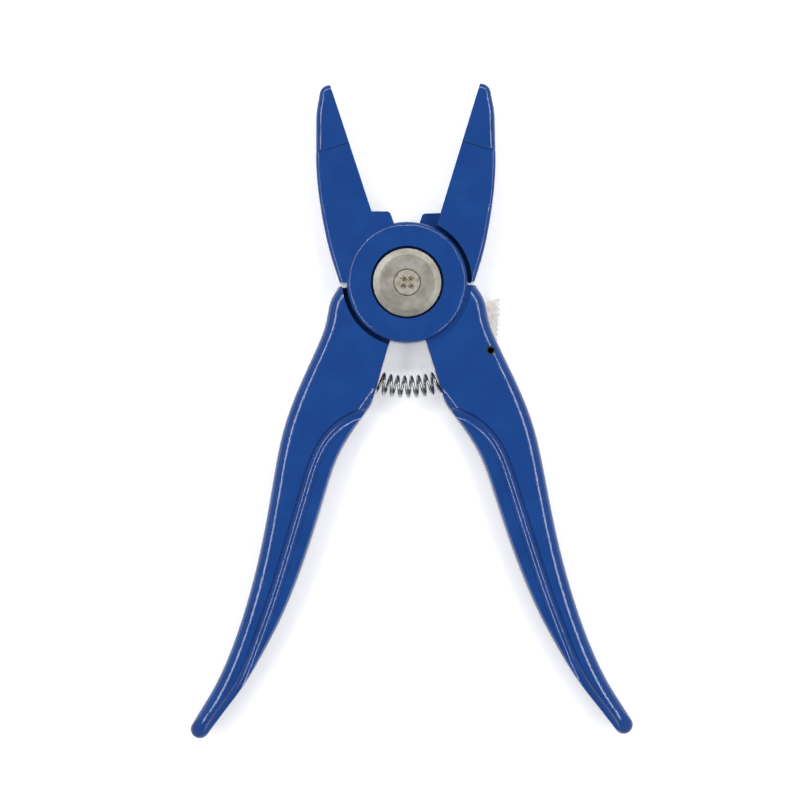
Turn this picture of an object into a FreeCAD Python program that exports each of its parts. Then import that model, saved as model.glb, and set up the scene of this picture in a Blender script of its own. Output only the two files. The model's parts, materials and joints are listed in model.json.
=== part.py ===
import FreeCAD, Part
import math
import os
from FreeCAD import Vector

# Ear tag applicator: pliers of two die-cast levers that cross in a lap joint.
# Each lever is a jaw, half of the round joint and the handle on the other side.
# All is drawn with the tool shut. The axis of the joint is Z, the jaws point along +Y,
# the back of the joint and of the handles lies on z = 0, and the screw is on the +Z side.
# The levers are then turned apart about Z to the open, sprung position. Millimetres, degrees.

# ---- joint -----------------------------------------------------------------
thickness = 17.0            # through the joint and the handles
disc_radius = 17.6          # round half joints
disc_edge = 1.2             # rounding of their outer rims
disc_gap = 0.3              # between the two half joints
arm_clearance = 1.2         # round a half joint, to the arms of the other lever
ring_groove_width = 1.0     # groove between a half joint and its own handle
ring_groove_depth = 1.2
travel = 33.6               # from fully open to shut
shut_gap = 0.3              # between the two shanks when shut

# ---- pivot -----------------------------------------------------------------
barrel_radius = 6.0
bore_clearance = 0.05
flange_radius = 9.87
flange_thickness = 4.65
flange_play = 0.05          # between the flange and the rear half joint
counterbore_clearance = 0.7
cap_thickness = 3.2
cap_recess = 1.0            # top of the cap below the face of the joint
cap_chamfer_width = 1.8     # shallow cone round the face of the cap
cap_chamfer_height = 0.35
flange_chamfer = 0.4
washer_thickness = 0.5
washer_inset = 0.3          # washer rim inside the rim of the cap
screw_radius = 2.0
screw_head_radius = 3.8
screw_length = 12.0
screw_clearance = 0.05
screw_head_lip = 0.25       # straight rim of the head above its cone
screw_edge = 0.15           # chamfer of the head and of its seat in the cap
cross_reach = 2.3           # arms of the cross recess
cross_width = 1.15
cross_depth = 1.5
cross_foot_reach = 1.1
cross_foot_width = 0.6

# ---- jaws ------------------------------------------------------------------
jaw_length = 61.6           # pivot axis to the tips
jaw_gap = 7.4               # between the flat inner faces at their root
jaw_toe = 0.5               # the inner faces open this much from root to tip
jaw_tail = 2.0              # end of the jaw arm outside the joint disc
jaw_tail_angle = 163.0
jaw_face_foot = 24.2        # lower end of the flat inner face
tip_radius = 3.0
tip_overhang = 1.0          # centre of the round tip behind the inner face
tip_join_angle = 156.0      # where the outer edge runs into the round tip
# share of the jaw length, half width of the shut pair
jaw_stations = ((0.22, 18.85), (0.355, 18.3), (0.505, 17.05), (0.66, 14.95),
                (0.80, 12.25), (0.905, 10.0))
pad_from = 43.8             # raised tip pad
pad_inset = 0.35            # its face below the face of the joint
pad_edge = 1.5
mid_from = 28.8             # sunk middle of the jaw
mid_inset = 1.1
mid_edge = 0.8
base_inset = 0.6
base_edge = 1.0
step_edge = 0.3             # chamfer of the steps down to the sunk middle
shelf_height = 21.1         # step at the root of the mouth, in the half joint's own layer
shelf_reach = 5.0
shelf_slant = 1.6           # its root is higher than its corner
shelf_flank = 0.5           # its foot reaches further than its corner
shelf_overlap = 2.0         # into the jaw
shelf_edge = 1.2

# ---- tag channel in the inner face of each jaw ------------------------------
channel_width = 10.4
channel_depth = 1.9
channel_foot = 28.0
lip_reach = 0.6             # lips that hold the tag by its long edges
lip_thickness = 0.6
relief_width = 3.6          # slot in the rear jaw that the point of the tag passes into
relief_length = 9.0
relief_depth = 1.6
relief_height = 53.0

# ---- handles ---------------------------------------------------------------
handle_length = 144.2       # pivot axis to the ends
head_height = 2.35          # top of the handle outside the joint disc
head_angle = -19.7
head_edge = 1.2
shank_foot = 37.2           # lower end of the straight inner wall
shank_edge = 0.5            # chamfer along that wall
handle_end_x = 21.65        # centre of the round end
handle_end_radius = 2.7
handle_end_outer_angle = 14.0
handle_end_inner_angle = 201.0
# share of the handle length, outer edge of the shut pair
outer_stations = ((0.075, 19.82), (0.12, 19.45), (0.17, 19.85), (0.25, 21.5), (0.35, 22.6),
                  (0.45, 21.5), (0.555, 19.85), (0.68, 18.8), (0.80, 19.25), (0.90, 21.3))
# share of the handle length, inner edge of the shut pair
inner_stations = ((0.29, 1.8), (0.33, 3.7), (0.38, 5.3), (0.45, 5.8), (0.55, 6.0),
                  (0.65, 6.8), (0.73, 8.2), (0.80, 10.2), (0.87, 12.8), (0.95, 17.1))
outer_edge = 3.0            # rounding of the outer side
panel_depth = 1.1           # sunk face along the inner side
cove_radius = 2.1           # groove between the ridge and the sunk face
cove_rise = 0.2             # centre of the groove above the face
# share of the handle length, centre of the groove on the shut pair
cove_stations = ((0.274, -3.0), (0.286, 2.4), (0.314, 6.7), (0.348, 9.4), (0.39, 10.85),
                 (0.44, 11.2), (0.56, 11.25), (0.70, 11.6), (0.80, 12.5), (0.88, 14.0),
                 (0.95, 17.4), (0.985, 18.6))

# ---- return spring ----------------------------------------------------------
spring_height = 30.2        # below the pivot axis
spring_radius = 2.95        # to the middle of the wire
spring_wire = 0.85
spring_turns = 15
spring_pocket_depth = 8.0
spring_pocket_clearance = 0.3
coil_steps = 12             # straight lengths to a turn, of both springs

# ---- thumb latch ------------------------------------------------------------
latch_pin_x = 17.15         # in the front lever's handle, shut
latch_pin_y = -26.07
latch_pin_radius = 1.25
latch_pin_wall = 0.4
latch_pin_slit = 0.35
latch_pin_recess = 0.3
latch_pin_length = 15.0
latch_pin_fit = 0.02
latch_thickness = 3.0
latch_front = 8.0           # its front face above the back of the tool
latch_play = 0.2            # slot above and below the plate
latch_hub_radius = 2.9
latch_running_fit = 0.08
latch_rise = 14.07          # top edge above its pin
latch_thumb_reach = 7.75    # thumb corner outside its pin
latch_thumb_round = 0.8
latch_nose_reach = 2.15     # nose inside its pin
latch_nose_depth = 2.3
latch_nose_slant = 0.6
latch_neck = 3.1            # nose to the plate's inner side
latch_teeth = 9
latch_tooth_depth = 0.6
latch_travel = 10.0
latch_slot_margin = 0.4     # slot round the plate and its swing
lug_rise = 1.0              # lug of the rear half joint that the nose holds
lug_width = 11.0            # degrees
lug_lead = 6.5              # degrees between lug and nose when latched
latch_spring_drop = 7.0     # below the top edge
latch_spring_radius = 1.05
latch_spring_wire = 0.4
latch_spring_turns = 5
latch_spring_bore_depth = 3.4
latch_spring_end_gap = 0.55  # its flat end stands off the slanted side of the latch

# ---- values worked out from the sizes above ---------------------------------
half_travel = travel / 2
middle = thickness / 2
half_disc = (thickness - disc_gap) / 2
arm_bore = disc_radius + arm_clearance
counterbore_radius = flange_radius + counterbore_clearance
counterbore_depth = flange_thickness + flange_play
cap_top = thickness - cap_recess
cap_base = cap_top - cap_thickness
front_counterbore_depth = thickness - (cap_base - washer_thickness)
wall = shut_gap / 2
axis_z = Vector(0, 0, 1)
origin = Vector(0, 0, 0)


def polar(radius, angle):
    """The point at this radius and angle about the pivot axis, at the back of the tool."""
    return Vector(radius * math.cos(math.radians(angle)), radius * math.sin(math.radians(angle)), 0)


def spline(points, final=None):
    """A smooth edge through the points, which may end in a given direction."""
    curve = Part.BSplineCurve()
    if final is None:
        curve.interpolate(Points=points)
        return curve.toShape()
    lengths = [0.0]
    for start, end in zip(points, points[1:]):
        lengths.append(lengths[-1] + start.distanceToPoint(end))
    first = (points[1] - points[0]).normalize()
    curve.interpolate(Points=points, Parameters=lengths, InitialTangent=first, FinalTangent=final, Scale=False)
    return curve.toShape()


def prism(edges, low, high):
    """The closed outline as a solid between two heights."""
    wire = Part.Wire(Part.__sortEdges__(edges))
    face = Part.Face(wire)
    face.translate(Vector(0, 0, low))
    return face.extrude(Vector(0, 0, high - low))


def polygon(corners):
    """The straight edges of a closed outline."""
    pairs = zip(corners, corners[1:] + corners[:1])
    return [Part.makeLine(start, end) for start, end in pairs]


def cylinder(radius, low, high, at=origin):
    return Part.makeCylinder(radius, high - low, Vector(at.x, at.y, low), axis_z)


def rounded_rims(solid, curves, heights, radius):
    """The solid with its edges along the curves rounded, at one height after the other."""
    for height in heights:
        rim = []
        for edge in solid.Edges:
            if max(abs(edge.BoundBox.ZMin - height), abs(edge.BoundBox.ZMax - height)) > 0.01:
                continue
            halfway = edge.valueAt((edge.FirstParameter + edge.LastParameter) / 2)
            flat = Part.Vertex(halfway.x, halfway.y, 0)
            if min(flat.distToShape(curve)[0] for curve in curves) < 0.01:
                rim.append(edge)
        solid = solid.makeFillet(radius, rim)
    return solid


# ---- jaw of the front lever --------------------------------------------------
# It lies left of the mouth. Its outline is drawn once and cut into base, middle and tip pad,
# which differ in thickness and in the rounding of their outer edge.
def jaw_face_x(height):
    """The flat inner face at a height above the pivot axis."""
    share = (height - jaw_face_foot) / (jaw_length - jaw_face_foot)
    return -jaw_gap / 2 - jaw_toe * share


def jaw_outline():
    tail = polar(disc_radius + jaw_tail, jaw_tail_angle)
    inner_x = jaw_face_x(jaw_length)
    tip_centre = Vector(inner_x - tip_overhang, jaw_length - tip_radius, 0)
    join_direction = polar(1, tip_join_angle)
    join = tip_centre + join_direction * tip_radius
    along_join = Vector(join_direction.y, -join_direction.x, 0)
    outer_points = [tail]
    outer_points += [Vector(-half_width, share * jaw_length, 0) for share, half_width in jaw_stations]
    outer = spline(outer_points + [join], final=along_join)
    top = tip_centre + Vector(0, tip_radius, 0)
    corner = Vector(inner_x, tip_centre.y + math.sqrt(tip_radius ** 2 - tip_overhang ** 2), 0)
    tip = Part.Arc(join, top, corner).toShape()
    face_foot = Vector(jaw_face_x(0), 0, 0)
    root = polar(disc_radius / 2, jaw_tail_angle)
    corners = [corner, face_foot, root, tail]
    straight = [Part.makeLine(a, b) for a, b in zip(corners, corners[1:])]
    return [outer, tip] + straight, outer, tip


def chamfered_step(zone, height):
    """A zone of the jaw with its edges down to the sunk middle broken, at the top and at the bottom."""
    step = [edge for edge in zone.Edges
            if edge.Length > 1 and max(edge.BoundBox.YLength, edge.BoundBox.ZLength) < 0.01
            and abs(edge.BoundBox.YMin - height) < 0.01]
    return zone.makeChamfer(step_edge, step)


def jaw():
    edges, outer, tip = jaw_outline()
    reach = 2 * jaw_length

    def zone(start, end, inset, rounding):
        heights = (inset, thickness - inset)
        band = Part.makeBox(2 * reach, end - start, thickness, Vector(-reach, start, 0))
        return rounded_rims(prism(edges, *heights).common(band), [outer, tip], heights, rounding)

    base = chamfered_step(zone(-reach, mid_from, base_inset, base_edge), mid_from)
    pad = chamfered_step(zone(pad_from, reach, pad_inset, pad_edge), pad_from)
    return zone(mid_from, pad_from, mid_inset, mid_edge).multiFuse([base, pad])


def shelf():
    """The step at the root of the mouth."""
    face_x = jaw_face_x(shelf_height)
    left = face_x - shelf_overlap
    right = face_x + shelf_reach
    root_height = shelf_height + shelf_slant
    low = disc_radius / 2
    corners = [Vector(left, root_height, 0), Vector(face_x, root_height, 0), Vector(right, shelf_height, 0),
               Vector(right + shelf_flank, low, 0), Vector(left, low, 0)]
    block = prism(polygon(corners), thickness - half_disc, thickness - base_inset)
    upright = Part.makeLine(Vector(right, shelf_height, 0), Vector(right, shelf_height, thickness))
    corner = [edge for edge in block.Edges if edge.distToShape(upright)[0] < 0.01 and edge.BoundBox.ZLength > 1]
    return block.makeFillet(shelf_edge, corner)


def tag_channel():
    """The space in the jaw's inner face that a tag slides into from the tip."""
    lips = lip_thickness
    half = channel_width / 2
    foot_x = jaw_face_x(channel_foot)
    tip_x = jaw_face_x(jaw_length)
    top = jaw_length + 1

    def slab(near, far, half_width):
        corners = [Vector(foot_x + near, channel_foot, 0), Vector(foot_x + far, channel_foot, 0),
                   Vector(tip_x + far, top, 0), Vector(tip_x + near, top, 0)]
        return prism(polygon(corners), middle - half_width, middle + half_width)

    mouth = slab(1, -lips - 0.01, half - lip_reach)
    return mouth.fuse(slab(-lips, -channel_depth, half))


def relief():
    """The slot behind the tag channel that takes the point of the tag."""
    depth = channel_depth + relief_depth
    radius = relief_width / 2
    x = jaw_face_x(relief_height) - depth
    along = relief_length / 2 - radius
    ends = [Part.makeCylinder(radius, depth + 1, Vector(x, relief_height + side * along, middle), Vector(1, 0, 0))
            for side in (-1, 1)]
    web = Part.makeBox(depth + 1, 2 * along, relief_width, Vector(x, relief_height - along, middle - radius))
    return web.multiFuse(ends)


# ---- handle of the front lever -------------------------------------------------
# It lies right of the middle. Outline, then the sunk panel and the cove on both faces.
def handle_points(stations):
    return [Vector(x, -share * handle_length, 0) for share, x in stations]


def handle_outline():
    head = polar(disc_radius + head_height, head_angle)
    centre = Vector(handle_end_x, -handle_length + handle_end_radius, 0)
    outer_end = centre + polar(handle_end_radius, handle_end_outer_angle)
    inner_end = centre + polar(handle_end_radius, handle_end_inner_angle)
    bottom = centre - Vector(0, handle_end_radius, 0)
    outer = spline([head] + handle_points(outer_stations) + [outer_end],
                   final=polar(1, handle_end_outer_angle - 90))
    shank_end = Vector(wall, -shank_foot, 0)
    inner = spline([shank_end] + handle_points(inner_stations) + [inner_end],
                   final=polar(1, handle_end_inner_angle + 90))
    end = Part.Arc(outer_end, bottom, inner_end).toShape()
    root = Vector(wall, -disc_radius / 2, 0)
    corners = [shank_end, root, polar(disc_radius / 2, head_angle), head]
    straight = [Part.makeLine(a, b) for a, b in zip(corners, corners[1:])]
    return [outer, end, inner] + straight, outer, end, inner


def cove_path():
    return spline(handle_points(cove_stations))


def cove_cutter():
    """A round bar along the groove of the front face."""
    path = cove_path()
    height = thickness + cove_rise
    lifted = path.translated(Vector(0, 0, height))
    start = lifted.valueAt(lifted.FirstParameter)
    ring = Part.Wire(Part.makeCircle(cove_radius, start, lifted.tangentAt(lifted.FirstParameter)))
    return Part.Wire(lifted).makePipeShell([ring], True, False)


def panel_cutter():
    """The layer of the front face that lies inside the groove."""
    path = cove_path()
    start = path.valueAt(path.FirstParameter)
    end = path.valueAt(path.LastParameter)
    aside = start.x - cove_radius
    corners = [end, Vector(aside, end.y, 0), Vector(aside, start.y, 0), start]
    sides = [Part.makeLine(a, b) for a, b in zip(corners, corners[1:])]
    return prism([path] + sides, thickness - panel_depth, thickness + 1)


def to_back(shape):
    """The same cutter at the back face."""
    return shape.mirror(Vector(0, 0, middle), axis_z)


def handle():
    edges, outer, end, inner = handle_outline()
    solid = prism(edges, 0, thickness)
    solid = rounded_rims(solid, [outer, end], (0, thickness), outer_edge)
    shank = [edge for edge in solid.Edges
             if max(edge.BoundBox.XLength, edge.BoundBox.ZLength) < 0.01 and abs(edge.BoundBox.XMin - wall) < 0.01]
    solid = solid.makeChamfer(shank_edge, shank)
    for cutter in (panel_cutter(), cove_cutter()):
        solid = solid.cut(cutter).cut(to_back(cutter))
    return solid


def spring_pocket():
    radius = spring_radius + spring_wire / 2 + spring_pocket_clearance
    start = Vector(wall - 1, -spring_height, middle)
    return Part.makeCylinder(radius, spring_pocket_depth + 1, start, Vector(1, 0, 0))


# ---- the two levers --------------------------------------------------------------
def plain_lever():
    """One lever with the half joint at the front, shut, without what only one of them has."""
    split = thickness - half_disc
    arms = jaw().fuse(handle())
    arms = arms.cut(cylinder(arm_bore, -1, split))
    groove = cylinder(disc_radius + ring_groove_width, thickness - ring_groove_depth, thickness + 1)
    reach = 2 * disc_radius
    handle_side = Part.makeBox(2 * reach, reach, 2 * thickness, Vector(-reach, -reach, 0))
    arms = arms.cut(groove.common(handle_side))
    disc = cylinder(disc_radius, split, thickness)
    rim = [edge for edge in disc.Edges if edge.Closed and abs(edge.BoundBox.ZMin - thickness) < 0.01]
    disc = disc.makeFillet(disc_edge, rim)
    lever = arms.multiFuse([disc, shelf()])
    lever = lever.cut(cylinder(counterbore_radius, thickness - front_counterbore_depth, thickness + 1))
    lever = lever.cut(cylinder(barrel_radius + bore_clearance, -1, thickness + 1))
    lever = lever.cut(spring_pocket())
    return lever.cut(tag_channel())


def turned(shape, angle):
    moved = shape.copy()
    moved.rotate(origin, axis_z, angle)
    return moved


def crossed(shape):
    """The same shape on the other lever: turned half round about the long axis of the tool."""
    moved = shape.copy()
    moved.rotate(Vector(0, 0, middle), Vector(0, 1, 0), 180)
    return moved


# ---- thumb latch -----------------------------------------------------------------
# A flat plate that turns on a pin in the front lever's handle, in a slot open to the outside.
def latch_corners():
    """The corners of the plate that its slot, its spring and the lug are fitted to."""
    pin = Vector(latch_pin_x, latch_pin_y, 0)
    nose = pin + Vector(-latch_nose_reach, latch_rise, 0)
    thumb = pin + Vector(latch_thumb_reach, latch_rise, 0)
    chin = nose + Vector(latch_nose_slant, -latch_nose_depth, 0)
    throat = nose + Vector(latch_neck, -latch_nose_depth - latch_nose_slant, 0)
    back = pin + polar(latch_hub_radius, 160)
    return pin, nose, thumb, chin, throat, back


def pressed(point):
    """Where a point of the latch lies once the latch is pushed in."""
    pin = latch_corners()[0]
    return pin + FreeCAD.Rotation(axis_z, latch_travel).multVec(point - pin)


def latch_teeth_edges(start, end):
    """The serrated thumb edge between two points, cut into the side that faces out."""
    along = (end - start) * (1.0 / latch_teeth)
    inward = Vector(-along.y, along.x, 0).normalize() * latch_tooth_depth
    points = [start]
    for tooth in range(latch_teeth):
        points += [start + along * (tooth + 0.75) + inward, start + along * (tooth + 1)]
    return [Part.makeLine(a, b) for a, b in zip(points, points[1:])]


def thumb_latch():
    pin, nose, thumb, chin, throat, back = latch_corners()
    crest = thumb - Vector(latch_thumb_round, 0, 0)
    drop = thumb - Vector(0, latch_thumb_round, 0)
    centre = crest - Vector(0, latch_thumb_round, 0)
    foot = pin + polar(latch_hub_radius, 20)
    corner = Part.Arc(drop, centre + polar(latch_thumb_round, 45), crest).toShape()
    hub = Part.Arc(back, pin - Vector(0, latch_hub_radius, 0), foot).toShape()
    sides = [crest, nose, chin, throat, back]
    edges = latch_teeth_edges(foot, drop) + [corner, hub]
    edges += [Part.makeLine(a, b) for a, b in zip(sides, sides[1:])]
    plate = prism(edges, latch_front - latch_thickness, latch_front)
    return plate.cut(cylinder(latch_pin_radius + latch_running_fit, 0, thickness, pin))


def latch_slot():
    """Room for the latch and its swing, open to the outside and, at the nose, to the joint."""
    pin, nose, thumb, chin, throat, back = latch_corners()
    low = latch_front - latch_thickness - latch_play
    high = latch_front + latch_play
    radius = latch_hub_radius + latch_slot_margin
    top = pressed(thumb).y
    sill = pressed(throat).y - latch_slot_margin
    inside = nose.x - latch_neck
    wall_top = pressed(throat).x - latch_slot_margin
    outside = disc_radius + thumb.x
    corners = [Vector(outside, pin.y - radius, 0), Vector(outside, top, 0), Vector(inside, top, 0),
               Vector(inside, sill, 0), Vector(wall_top, sill, 0), Vector(pin.x - radius, pin.y, 0), pin,
               Vector(pin.x, pin.y - radius, 0)]
    return prism(polygon(corners), low, high).fuse(cylinder(radius, low, high, pin))


def latch_spring_seats():
    """Floor of the spring's bore in the handle, and the inner side of the latch facing it."""
    pin, nose, thumb, chin, throat, back = latch_corners()
    depth = latch_front - latch_thickness / 2
    height = nose.y - latch_spring_drop
    share = (throat.y - height) / (throat.y - back.y)
    latch_side = Vector(throat.x + (back.x - throat.x) * share, height, depth)
    floor = Vector(pin.x - latch_hub_radius - latch_spring_bore_depth, height, depth)
    return floor, latch_side


def latch_spring_bore():
    floor, latch_side = latch_spring_seats()
    radius = latch_spring_radius + latch_spring_wire / 2 + latch_play
    return Part.makeCylinder(radius, latch_side.x - floor.x, floor, Vector(1, 0, 0))


def pin_span():
    high = thickness - latch_pin_recess
    return high - latch_pin_length, high


def rolled_pin():
    """A pin rolled from strip, open along one side."""
    low, high = pin_span()
    pin = latch_corners()[0]
    tube = cylinder(latch_pin_radius, low, high, pin)
    tube = tube.cut(cylinder(latch_pin_radius - latch_pin_wall, low, high, pin))
    corner = Vector(pin.x, pin.y - latch_pin_slit / 2, low)
    return tube.cut(Part.makeBox(2 * latch_pin_radius, latch_pin_slit, latch_pin_length, corner))


def lug():
    """The step on the rim of the rear half joint that the latch holds when the tool is shut."""
    nose = pressed(latch_corners()[1])
    low = math.degrees(math.atan2(nose.y, nose.x)) + lug_lead
    high = low + lug_width
    outer = disc_radius + lug_rise
    inner = disc_radius - lug_rise
    rim = Part.Arc(polar(outer, low), polar(outer, low + lug_width / 2), polar(outer, high)).toShape()
    root = Part.Arc(polar(inner, high), polar(inner, low + lug_width / 2), polar(inner, low)).toShape()
    sides = [Part.makeLine(polar(outer, angle), polar(inner, angle)) for angle in (low, high)]
    return prism([rim, root] + sides, latch_front - latch_thickness, half_disc)


def front_lever(shut):
    low = pin_span()[0]
    hole = cylinder(latch_pin_radius + latch_pin_fit, low, thickness + 1, latch_corners()[0])
    return shut.cut(latch_slot()).cut(latch_spring_bore()).cut(hole)


def rear_lever(shut):
    return crossed(shut.cut(relief())).fuse(lug())


# ---- pivot -----------------------------------------------------------------------
def revolved(profile):
    return Part.Face(Part.Wire(polygon(profile))).revolve(origin, axis_z, 360)


def rim_at(solid, height):
    """The outer circle of a round piece at a height."""
    circles = [edge for edge in solid.Edges if edge.Closed and abs(edge.BoundBox.ZMin - height) < 0.01
               and abs(edge.BoundBox.ZMax - height) < 0.01]
    return [max(circles, key=lambda circle: circle.Length)]


def pivot_barrel():
    """Bush with a flange at the back, tapped for the screw."""
    flange = cylinder(flange_radius, 0, flange_thickness)
    flange = flange.makeChamfer(flange_chamfer, rim_at(flange, 0))
    bush = flange.fuse(cylinder(barrel_radius, 0, cap_base))
    return bush.cut(cylinder(screw_radius + screw_clearance, cap_top - screw_length - 1, cap_base))


def screw_profile(clearance):
    """Half section of a countersunk screw from the middle of its head down to its shank."""
    head = screw_head_radius + clearance
    shank = screw_radius + clearance
    shoulder = cap_top - screw_head_lip
    return [Vector(0, 0, cap_top), Vector(head, 0, cap_top), Vector(head, 0, shoulder),
            Vector(shank, 0, shoulder - head + shank)]


def pivot_cap():
    plate = cylinder(flange_radius, cap_base, cap_top)
    plate = plate.makeChamfer(cap_chamfer_height, cap_chamfer_width, rim_at(plate, cap_top))
    profile = screw_profile(screw_clearance)
    plate = plate.cut(revolved(profile + [Vector(profile[-1].x, 0, cap_base), Vector(0, 0, cap_base)]))
    seat = [edge for edge in plate.Edges if edge.Closed and abs(edge.BoundBox.ZMin - cap_top) < 0.01]
    return plate.makeChamfer(screw_edge, [min(seat, key=lambda circle: circle.Length)])


def pivot_screw():
    tip = cap_top - screw_length
    screw = revolved(screw_profile(0) + [Vector(screw_radius, 0, tip), Vector(0, 0, tip)])
    screw = screw.makeChamfer(screw_edge, rim_at(screw, cap_top))
    for angle in (45, 135):
        screw = screw.cut(turned(cross_arm(), angle))
    return screw


def cross_arm():
    """One bar of the cross recess, tapered to its foot."""
    def rectangle(reach, half_width, height):
        corners = [Vector(reach, half_width, height), Vector(-reach, half_width, height),
                   Vector(-reach, -half_width, height), Vector(reach, -half_width, height)]
        return Part.Wire(polygon(corners))

    mouth = rectangle(cross_reach, cross_width / 2, cap_top)
    foot = rectangle(cross_foot_reach, cross_foot_width / 2, cap_top - cross_depth)
    return Part.makeLoft([foot, mouth], True)


def pivot_washer():
    low = cap_base - washer_thickness
    ring = cylinder(flange_radius - washer_inset, low, cap_base)
    return ring.cut(cylinder(barrel_radius + bore_clearance, low, cap_base))


# ---- coil springs ------------------------------------------------------------------
def coil(middle_line, length, radius, wire, turns):
    """A coil of wire about a middle line, which gives a point and the way across it."""
    steps = coil_steps * turns
    points = []
    for step in range(steps + 1):
        share = step / steps
        centre, across = middle_line(wire / 2 + (length - wire) * share)
        angle = math.radians(360 * turns * share)
        points.append(centre + across * (radius * math.cos(angle)) + axis_z * (radius * math.sin(angle)))
    along = (points[1] - points[0]).normalize()
    side = along.cross(Vector(1, 0, 0)).normalize() * (wire / 2)
    turn = FreeCAD.Rotation(along, 60)
    ring = [side]
    for corner in range(5):
        ring.append(turn.multVec(ring[-1]))
    section = Part.Wire(polygon([points[0] + corner for corner in ring]))
    return Part.makePolygon(points).makePipeShell([section], True, False, 1)


def return_spring():
    """The opening spring, which bends round the pivot from one handle's bore to the other's."""
    straight = spring_pocket_depth + wall
    arc = spring_height * math.radians(travel)

    def middle_line(distance):
        bent = min(max(distance - straight, 0), arc)
        angle = -90 - half_travel + math.degrees(bent / spring_height)
        ahead = distance - straight - bent
        return polar(spring_height, angle) + polar(ahead, angle + 90) + axis_z * middle, polar(1, angle)

    return coil(middle_line, 2 * straight + arc, spring_radius, spring_wire, spring_turns)


def latch_spring():
    floor, latch_side = latch_spring_seats()

    def middle_line(distance):
        return floor + Vector(distance, 0, 0), Vector(0, -1, 0)

    length = latch_side.x - latch_spring_end_gap - floor.x
    return coil(middle_line, length, latch_spring_radius, latch_spring_wire, latch_spring_turns)


shut_lever = plain_lever()
pieces = {
    "front_lever": turned(front_lever(shut_lever), half_travel),
    "rear_lever": turned(rear_lever(shut_lever), -half_travel),
    "pivot_barrel": pivot_barrel(),
    "pivot_cap": pivot_cap(),
    "pivot_screw": pivot_screw(),
    "pivot_washer": pivot_washer(),
    "return_spring": return_spring(),
    "thumb_latch": turned(thumb_latch(), half_travel),
    "latch_pin": turned(rolled_pin(), half_travel),
    "latch_spring": turned(latch_spring(), half_travel),
}
os.makedirs("parts", exist_ok=True)
for name, solid in pieces.items():
    print(name, len(solid.Solids), solid.isValid(), round(solid.Volume, 1), len(solid.Faces))
    solid.exportStep("parts/" + name + ".step")
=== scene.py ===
import bmesh
import bpy
import json
import math
from mathutils import Matrix, Vector


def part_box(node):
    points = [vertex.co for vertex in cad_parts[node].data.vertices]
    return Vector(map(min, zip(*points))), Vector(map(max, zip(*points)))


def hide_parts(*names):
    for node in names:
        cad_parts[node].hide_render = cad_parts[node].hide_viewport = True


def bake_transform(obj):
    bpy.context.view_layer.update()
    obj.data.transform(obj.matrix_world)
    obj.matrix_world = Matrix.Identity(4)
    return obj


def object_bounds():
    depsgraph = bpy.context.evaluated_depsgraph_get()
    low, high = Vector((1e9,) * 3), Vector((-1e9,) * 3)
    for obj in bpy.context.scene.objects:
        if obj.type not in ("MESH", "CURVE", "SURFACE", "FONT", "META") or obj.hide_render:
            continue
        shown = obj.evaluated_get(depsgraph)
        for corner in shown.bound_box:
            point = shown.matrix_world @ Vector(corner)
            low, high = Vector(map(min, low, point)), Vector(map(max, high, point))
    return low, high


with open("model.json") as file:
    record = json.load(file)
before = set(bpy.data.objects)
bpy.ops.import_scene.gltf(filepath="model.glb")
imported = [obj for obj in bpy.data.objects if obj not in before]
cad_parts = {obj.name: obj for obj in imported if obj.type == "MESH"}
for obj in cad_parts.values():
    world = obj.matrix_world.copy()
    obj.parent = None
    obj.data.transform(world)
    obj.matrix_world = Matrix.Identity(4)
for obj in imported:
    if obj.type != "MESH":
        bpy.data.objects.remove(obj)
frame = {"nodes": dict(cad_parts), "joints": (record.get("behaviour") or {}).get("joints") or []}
cad_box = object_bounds()
scene = bpy.context.scene


# ---- Bench -------------------------------------------------------------------
# A light table that the tool lies on: a sheet of matt opal acrylic, dimly lit from
# below, which softens the shadows. Its edges show only where a view is low.
bench_size = 3.0


def linear(hex_code):
    """An sRGB hex colour as the linear RGBA that a shader socket takes."""
    shares = [int(hex_code[i:i + 2], 16) / 255 for i in (1, 3, 5)]
    return [c / 12.92 if c <= 0.04045 else ((c + 0.055) / 1.055) ** 2.4 for c in shares] + [1.0]


def new_material(name, **surface):
    """A material with its Principled shader's own sockets set, and that shader."""
    material = bpy.data.materials.new(name)
    material.use_nodes = True
    shader = material.node_tree.nodes["Principled BSDF"]
    for socket, value in surface.items():
        shader.inputs[socket.replace("_", " ")].default_value = value
    return material, shader


def new_piece(name, mesh_builder, *materials, smooth=True):
    """An object at the origin from a finished bmesh."""
    mesh = bpy.data.meshes.new(name)
    mesh_builder.to_mesh(mesh)
    mesh_builder.free()
    for material in materials:
        mesh.materials.append(material)
    if smooth:
        mesh.shade_smooth()
    piece = bpy.data.objects.new(name, mesh)
    scene.collection.objects.link(piece)
    return piece


opal, _ = new_material("opal_acrylic", Base_Color=linear("#f6f6f5"), Roughness=0.7,
                       Emission_Color=linear("#ffffff"), Emission_Strength=0.35)
top = bmesh.new()
bmesh.ops.create_grid(top, x_segments=1, y_segments=1, size=bench_size / 2)
bmesh.ops.translate(top, verts=top.verts, vec=(0, 0, cad_box[0][2]))
new_piece("bench_top", top, opal, smooth=False)


# ---- Camera ------------------------------------------------------------------
# It looks straight down at the tool, which lies turned a little in its picture.
camera_distance = 0.600     # above the middle of the tool's thickness
camera_width = 0.2349       # seen across the picture at that height
camera_roll = -0.6          # degrees
camera_middle = Vector((-0.00243, -0.03410, (cad_box[0][2] + cad_box[1][2]) / 2))

camera = bpy.data.objects.new("camera", bpy.data.cameras.new("camera"))
camera.location = camera_middle + Vector((0, 0, camera_distance))
camera.rotation_euler = (0, 0, math.radians(camera_roll))
camera.data.lens = camera.data.sensor_width * camera_distance / camera_width
scene.collection.objects.link(camera)
scene.camera = camera


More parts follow.
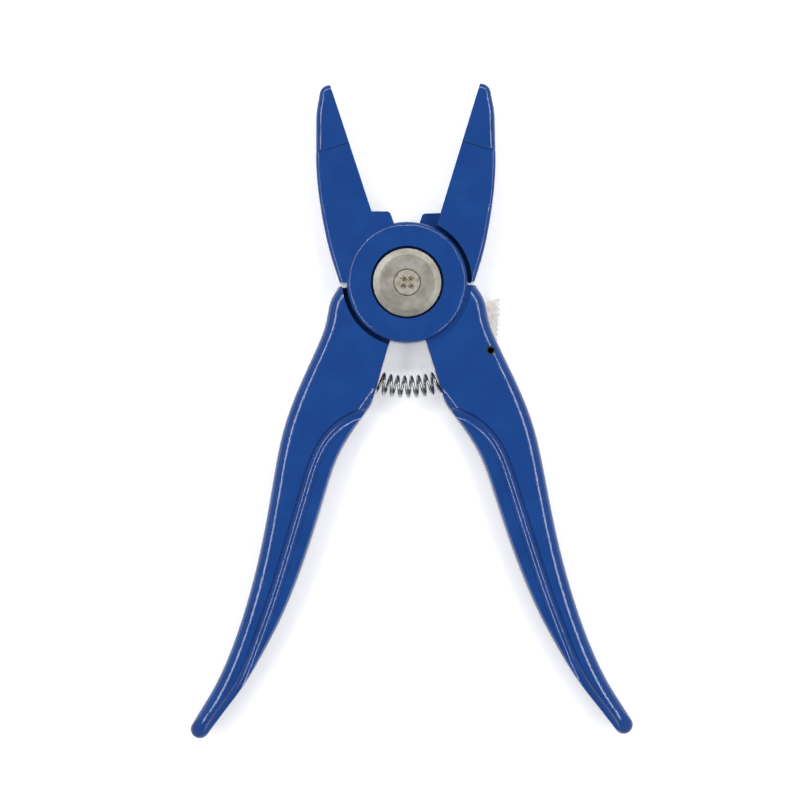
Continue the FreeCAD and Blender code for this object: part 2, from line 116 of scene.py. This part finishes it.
# ---- Studio light ------------------------------------------------------------
# Narrow soft boxes close round the camera draw thin lights where the castings' flat
# faces turn into their rounded edges. The dim walls of a white tent fill the rest.
side_box_size = (0.80, 0.10)    # the long side lies along the tool
side_box_watts = 2.6
head_box_size = (0.60, 0.10)    # the long side lies across it
head_box_watts = 2.2
wall_strength = 0.42
opening_strength = 0.06         # round the camera, where the tent is open
opening_rim = 0.55              # share of straight up where the walls begin to fade
opening_edge = 0.85             # share of straight up where they have faded


def soft_box(name, place, size, power):
    """A rectangular lamp that faces the middle of the tool."""
    lamp = bpy.data.lights.new(name, "AREA")
    lamp.shape = "RECTANGLE"
    lamp.size, lamp.size_y = size
    lamp.energy = power
    light = bpy.data.objects.new(name, lamp)
    light.location = place
    light.rotation_euler = (camera_middle - Vector(place)).to_track_quat("-Z", "Y").to_euler()
    scene.collection.objects.link(light)


soft_box("left_box", (-0.34, 0.00, 0.72), side_box_size, side_box_watts)
soft_box("right_box", (0.34, -0.06, 0.72), side_box_size, side_box_watts)
soft_box("head_box", (0.00, 0.36, 0.74), head_box_size, head_box_watts)


def add_node(owner, kind, settings={}, **links):
    """A node with its settings and with sockets set to a value or linked from another."""
    made = owner.node_tree.nodes.new("ShaderNode" + kind)
    for setting, value in settings.items():
        setattr(made, setting, value)
    for name, value in links.items():
        socket = made.inputs[name.replace("_", " ")]
        if isinstance(value, bpy.types.NodeSocket):
            owner.node_tree.links.new(value, socket)
        else:
            socket.default_value = value
    return made


surroundings = bpy.data.worlds.new("white_tent")
surroundings.use_nodes = True
direction = add_node(surroundings, "TexCoord").outputs["Generated"]
upward = add_node(surroundings, "SeparateXYZ", Vector=direction)
opening = add_node(surroundings, "MapRange", Value=upward.outputs["Z"], From_Min=opening_rim,
                   From_Max=opening_edge, To_Min=wall_strength, To_Max=opening_strength)
background = surroundings.node_tree.nodes["Background"]
background.inputs["Color"].default_value = linear("#f2f4f7")
surroundings.node_tree.links.new(opening.outputs["Result"], background.inputs["Strength"])
scene.world = surroundings
scene.view_settings.view_transform = "Standard"


# ---- Levers ------------------------------------------------------------------
# Two castings of aluminium, pressure die-cast, tumbled to break their edges, and
# powder-coated in gloss blue. Each has a jaw, half of the round joint and a handle.
coat_deep = "#183f82"
coat_light = "#1d478b"
orange_peel_mm = 2.2        # between the low waves that powder leaves as it melts
cloud_mm = 9.0              # patches where the coat lies thinner


def waves_per_metre(millimetres):
    """A texture's scale from the size of its pattern."""
    return 1000 / millimetres


def patches(material, pattern_mm, detail):
    """Soft patches of a given size, from 0 to 1, that stay with the piece."""
    place = add_node(material, "TexCoord").outputs["Object"]
    scale = waves_per_metre(pattern_mm)
    return add_node(material, "TexNoise", Vector=place, Scale=scale, Detail=detail).outputs["Fac"]


def mottle(material, shader, pattern, dull, pale, low, high):
    """Colours a surface from one tone to another where its pattern runs from low to high."""
    ramp = add_node(material, "ValToRGB", Fac=pattern)
    for stop, position, tone in zip(ramp.color_ramp.elements, (low, high), (dull, pale)):
        stop.position = position
        stop.color = linear(tone)
    material.node_tree.links.new(ramp.outputs["Color"], shader.inputs["Base Color"])


def emboss(material, shader, pattern, strength, depth):
    """Raises a surface's pattern, by a depth in metres."""
    bump = add_node(material, "Bump", Height=pattern, Strength=strength, Distance=depth)
    material.node_tree.links.new(bump.outputs["Normal"], shader.inputs["Normal"])


powder_coat, shader = new_material("gloss_blue_powder_coat", Roughness=0.14, IOR=1.5)
mottle(powder_coat, shader, patches(powder_coat, cloud_mm, 5.0), coat_deep, coat_light, 0.3, 0.75)
emboss(powder_coat, shader, patches(powder_coat, orange_peel_mm, 2.0), 0.25, 0.0001)


def finish_node(name, material):
    """Gives all of a solid's faces one material."""
    slots = frame["nodes"][name].data.materials
    for index in range(len(slots)):
        slots[index] = material


for name in ("front_lever", "rear_lever"):
    finish_node(name, powder_coat)


# ---- Pivot -------------------------------------------------------------------
# A flanged bush, a cap and the spring washer under it, machined from steel and left
# bright. Facing has left low rings on the cap, and handling has left brown smudges.
steel_pale = "#93918a"
steel_dull = "#7f7c73"
facing_ring_mm = 2.827      # between the low rings
ring_turn = 20.0            # radians to a unit of the wave texture at scale 1
smudge_mm = 3.5

turned_steel, shader = new_material("turned_bright_steel", Metallic=1.0, Roughness=0.45)
rings = add_node(turned_steel, "TexWave", {"wave_type": "RINGS", "rings_direction": "Z"},
                 Vector=add_node(turned_steel, "TexCoord").outputs["Object"],
                 Scale=waves_per_metre(facing_ring_mm) * math.tau / ring_turn, Distortion=0.4, Detail=2.0)
mottle(turned_steel, shader, patches(turned_steel, smudge_mm, 6.0), steel_dull, steel_pale, 0.35, 0.6)
emboss(turned_steel, shader, rings.outputs["Fac"], 0.3, 0.00005)

for name in ("pivot_barrel", "pivot_cap", "pivot_washer"):
    finish_node(name, turned_steel)


# ---- Pivot screw ---------------------------------------------------------------
# A countersunk machine screw, cold-headed and nickel-plated, with a cross recess.
nickel_pale = "#cbc6b8"
nickel_dull = "#a89f8e"
stain_mm = 1.6

nickel, shader = new_material("nickel_plated_steel", Metallic=1.0, Roughness=0.33)
mottle(nickel, shader, patches(nickel, stain_mm, 4.0), nickel_dull, nickel_pale, 0.35, 0.6)
finish_node("pivot_screw", nickel)


# ---- Springs -------------------------------------------------------------------
# The return spring is wound from bright drawn wire and stands in a blind bore in each
# handle. It bends round the pivot. On the tool its turns close up as the levers shut,
# but this coil is built in one shape.
wire_sides = 12
steps_per_turn = 36
return_radius = 0.00295     # to the middle of the wire
return_wire = 0.00085
return_turns = 15
return_height = 0.0302      # below the pivot axis
return_straight = 0.00815   # in the bore of one handle
wire_scuff_mm = 0.8
jaw_travel = math.radians(frame["joints"][0]["range_deg"][1])


def scuff(material, shader, pattern_mm, smooth, rough):
    """Wears a surface from smooth to rough in small patches."""
    worn = patches(material, pattern_mm, 3.0)
    wear = add_node(material, "MapRange", Value=worn, To_Min=smooth, To_Max=rough)
    material.node_tree.links.new(wear.outputs["Result"], shader.inputs["Roughness"])


drawn_wire, shader = new_material("bright_drawn_wire", Metallic=1.0, Base_Color=linear("#a9aaa8"))
scuff(drawn_wire, shader, wire_scuff_mm, 0.18, 0.42)


def wound_wire(length, radius, wire, turns):
    """A coil of round wire along X with its middle at the origin."""
    coil = bmesh.new()
    bmesh.ops.create_circle(coil, segments=wire_sides, radius=wire / 2)
    bmesh.ops.translate(coil, verts=coil.verts, vec=(radius, 0, 0))
    steps = steps_per_turn * turns
    bmesh.ops.spin(coil, geom=coil.verts[:] + coil.edges[:], axis=(0, 1, 0), angle=math.tau * turns,
                   steps=steps, dvec=(0, (length - wire) / steps, 0))
    bmesh.ops.holes_fill(coil, edges=[edge for edge in coil.edges if edge.is_boundary])
    bmesh.ops.recalc_face_normals(coil, faces=coil.faces)
    bmesh.ops.translate(coil, verts=coil.verts, vec=(0, (wire - length) / 2, 0))
    bmesh.ops.rotate(coil, verts=coil.verts, matrix=Matrix.Rotation(math.pi / 2, 3, "Z"))
    return coil


half_arc = return_height * jaw_travel / 2
coil = wound_wire(2 * (half_arc + return_straight), return_radius, return_wire, return_turns)
bore_middle = Vector((0, -return_height, frame["joints"][0]["pos_m"][2]))
bmesh.ops.translate(coil, verts=coil.verts, vec=bore_middle)
for vertex in coil.verts:
    bent = min(max(vertex.co.x, -half_arc), half_arc)
    vertex.co.x -= bent
    vertex.co.rotate(Matrix.Rotation(bent / return_height, 3, "Z"))
return_coil = new_piece("return_spring_wire", coil, drawn_wire)
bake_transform(return_coil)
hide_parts("return_spring")


# ---- Thumb latch -----------------------------------------------------------------
# A plate stamped from steel sheet, filed along its serrated thumb edge and dull-plated,
# which turns on a black spring pin rolled from strip. A small coil pushes it out.
plate_pale = "#dbd8d2"
plate_dull = "#c4c0b8"
plating_mm = 1.2
pin_scuff_mm = 0.7
latch_coil_length = 0.00522
latch_coil_radius = 0.00105
latch_coil_wire = 0.0004
latch_coil_turns = 5

plated_sheet, shader = new_material("dull_zinc_plated_sheet", Metallic=1.0, Roughness=0.45)
mottle(plated_sheet, shader, patches(plated_sheet, plating_mm, 5.0), plate_dull, plate_pale, 0.3, 0.6)
finish_node("thumb_latch", plated_sheet)

blackened, shader = new_material("blackened_spring_strip", Metallic=1.0, Base_Color=linear("#3a3835"))
scuff(blackened, shader, pin_scuff_mm, 0.3, 0.6)
finish_node("latch_pin", blackened)

latch_low, latch_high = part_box("latch_spring")
coil = wound_wire(latch_coil_length, latch_coil_radius, latch_coil_wire, latch_coil_turns)
bmesh.ops.rotate(coil, verts=coil.verts, matrix=Matrix.Rotation(jaw_travel / 2, 3, "Z"))
bmesh.ops.translate(coil, verts=coil.verts, vec=(latch_low + latch_high) / 2)
latch_coil = new_piece("latch_spring_wire", coil, drawn_wire)
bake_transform(latch_coil)
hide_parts("latch_spring")
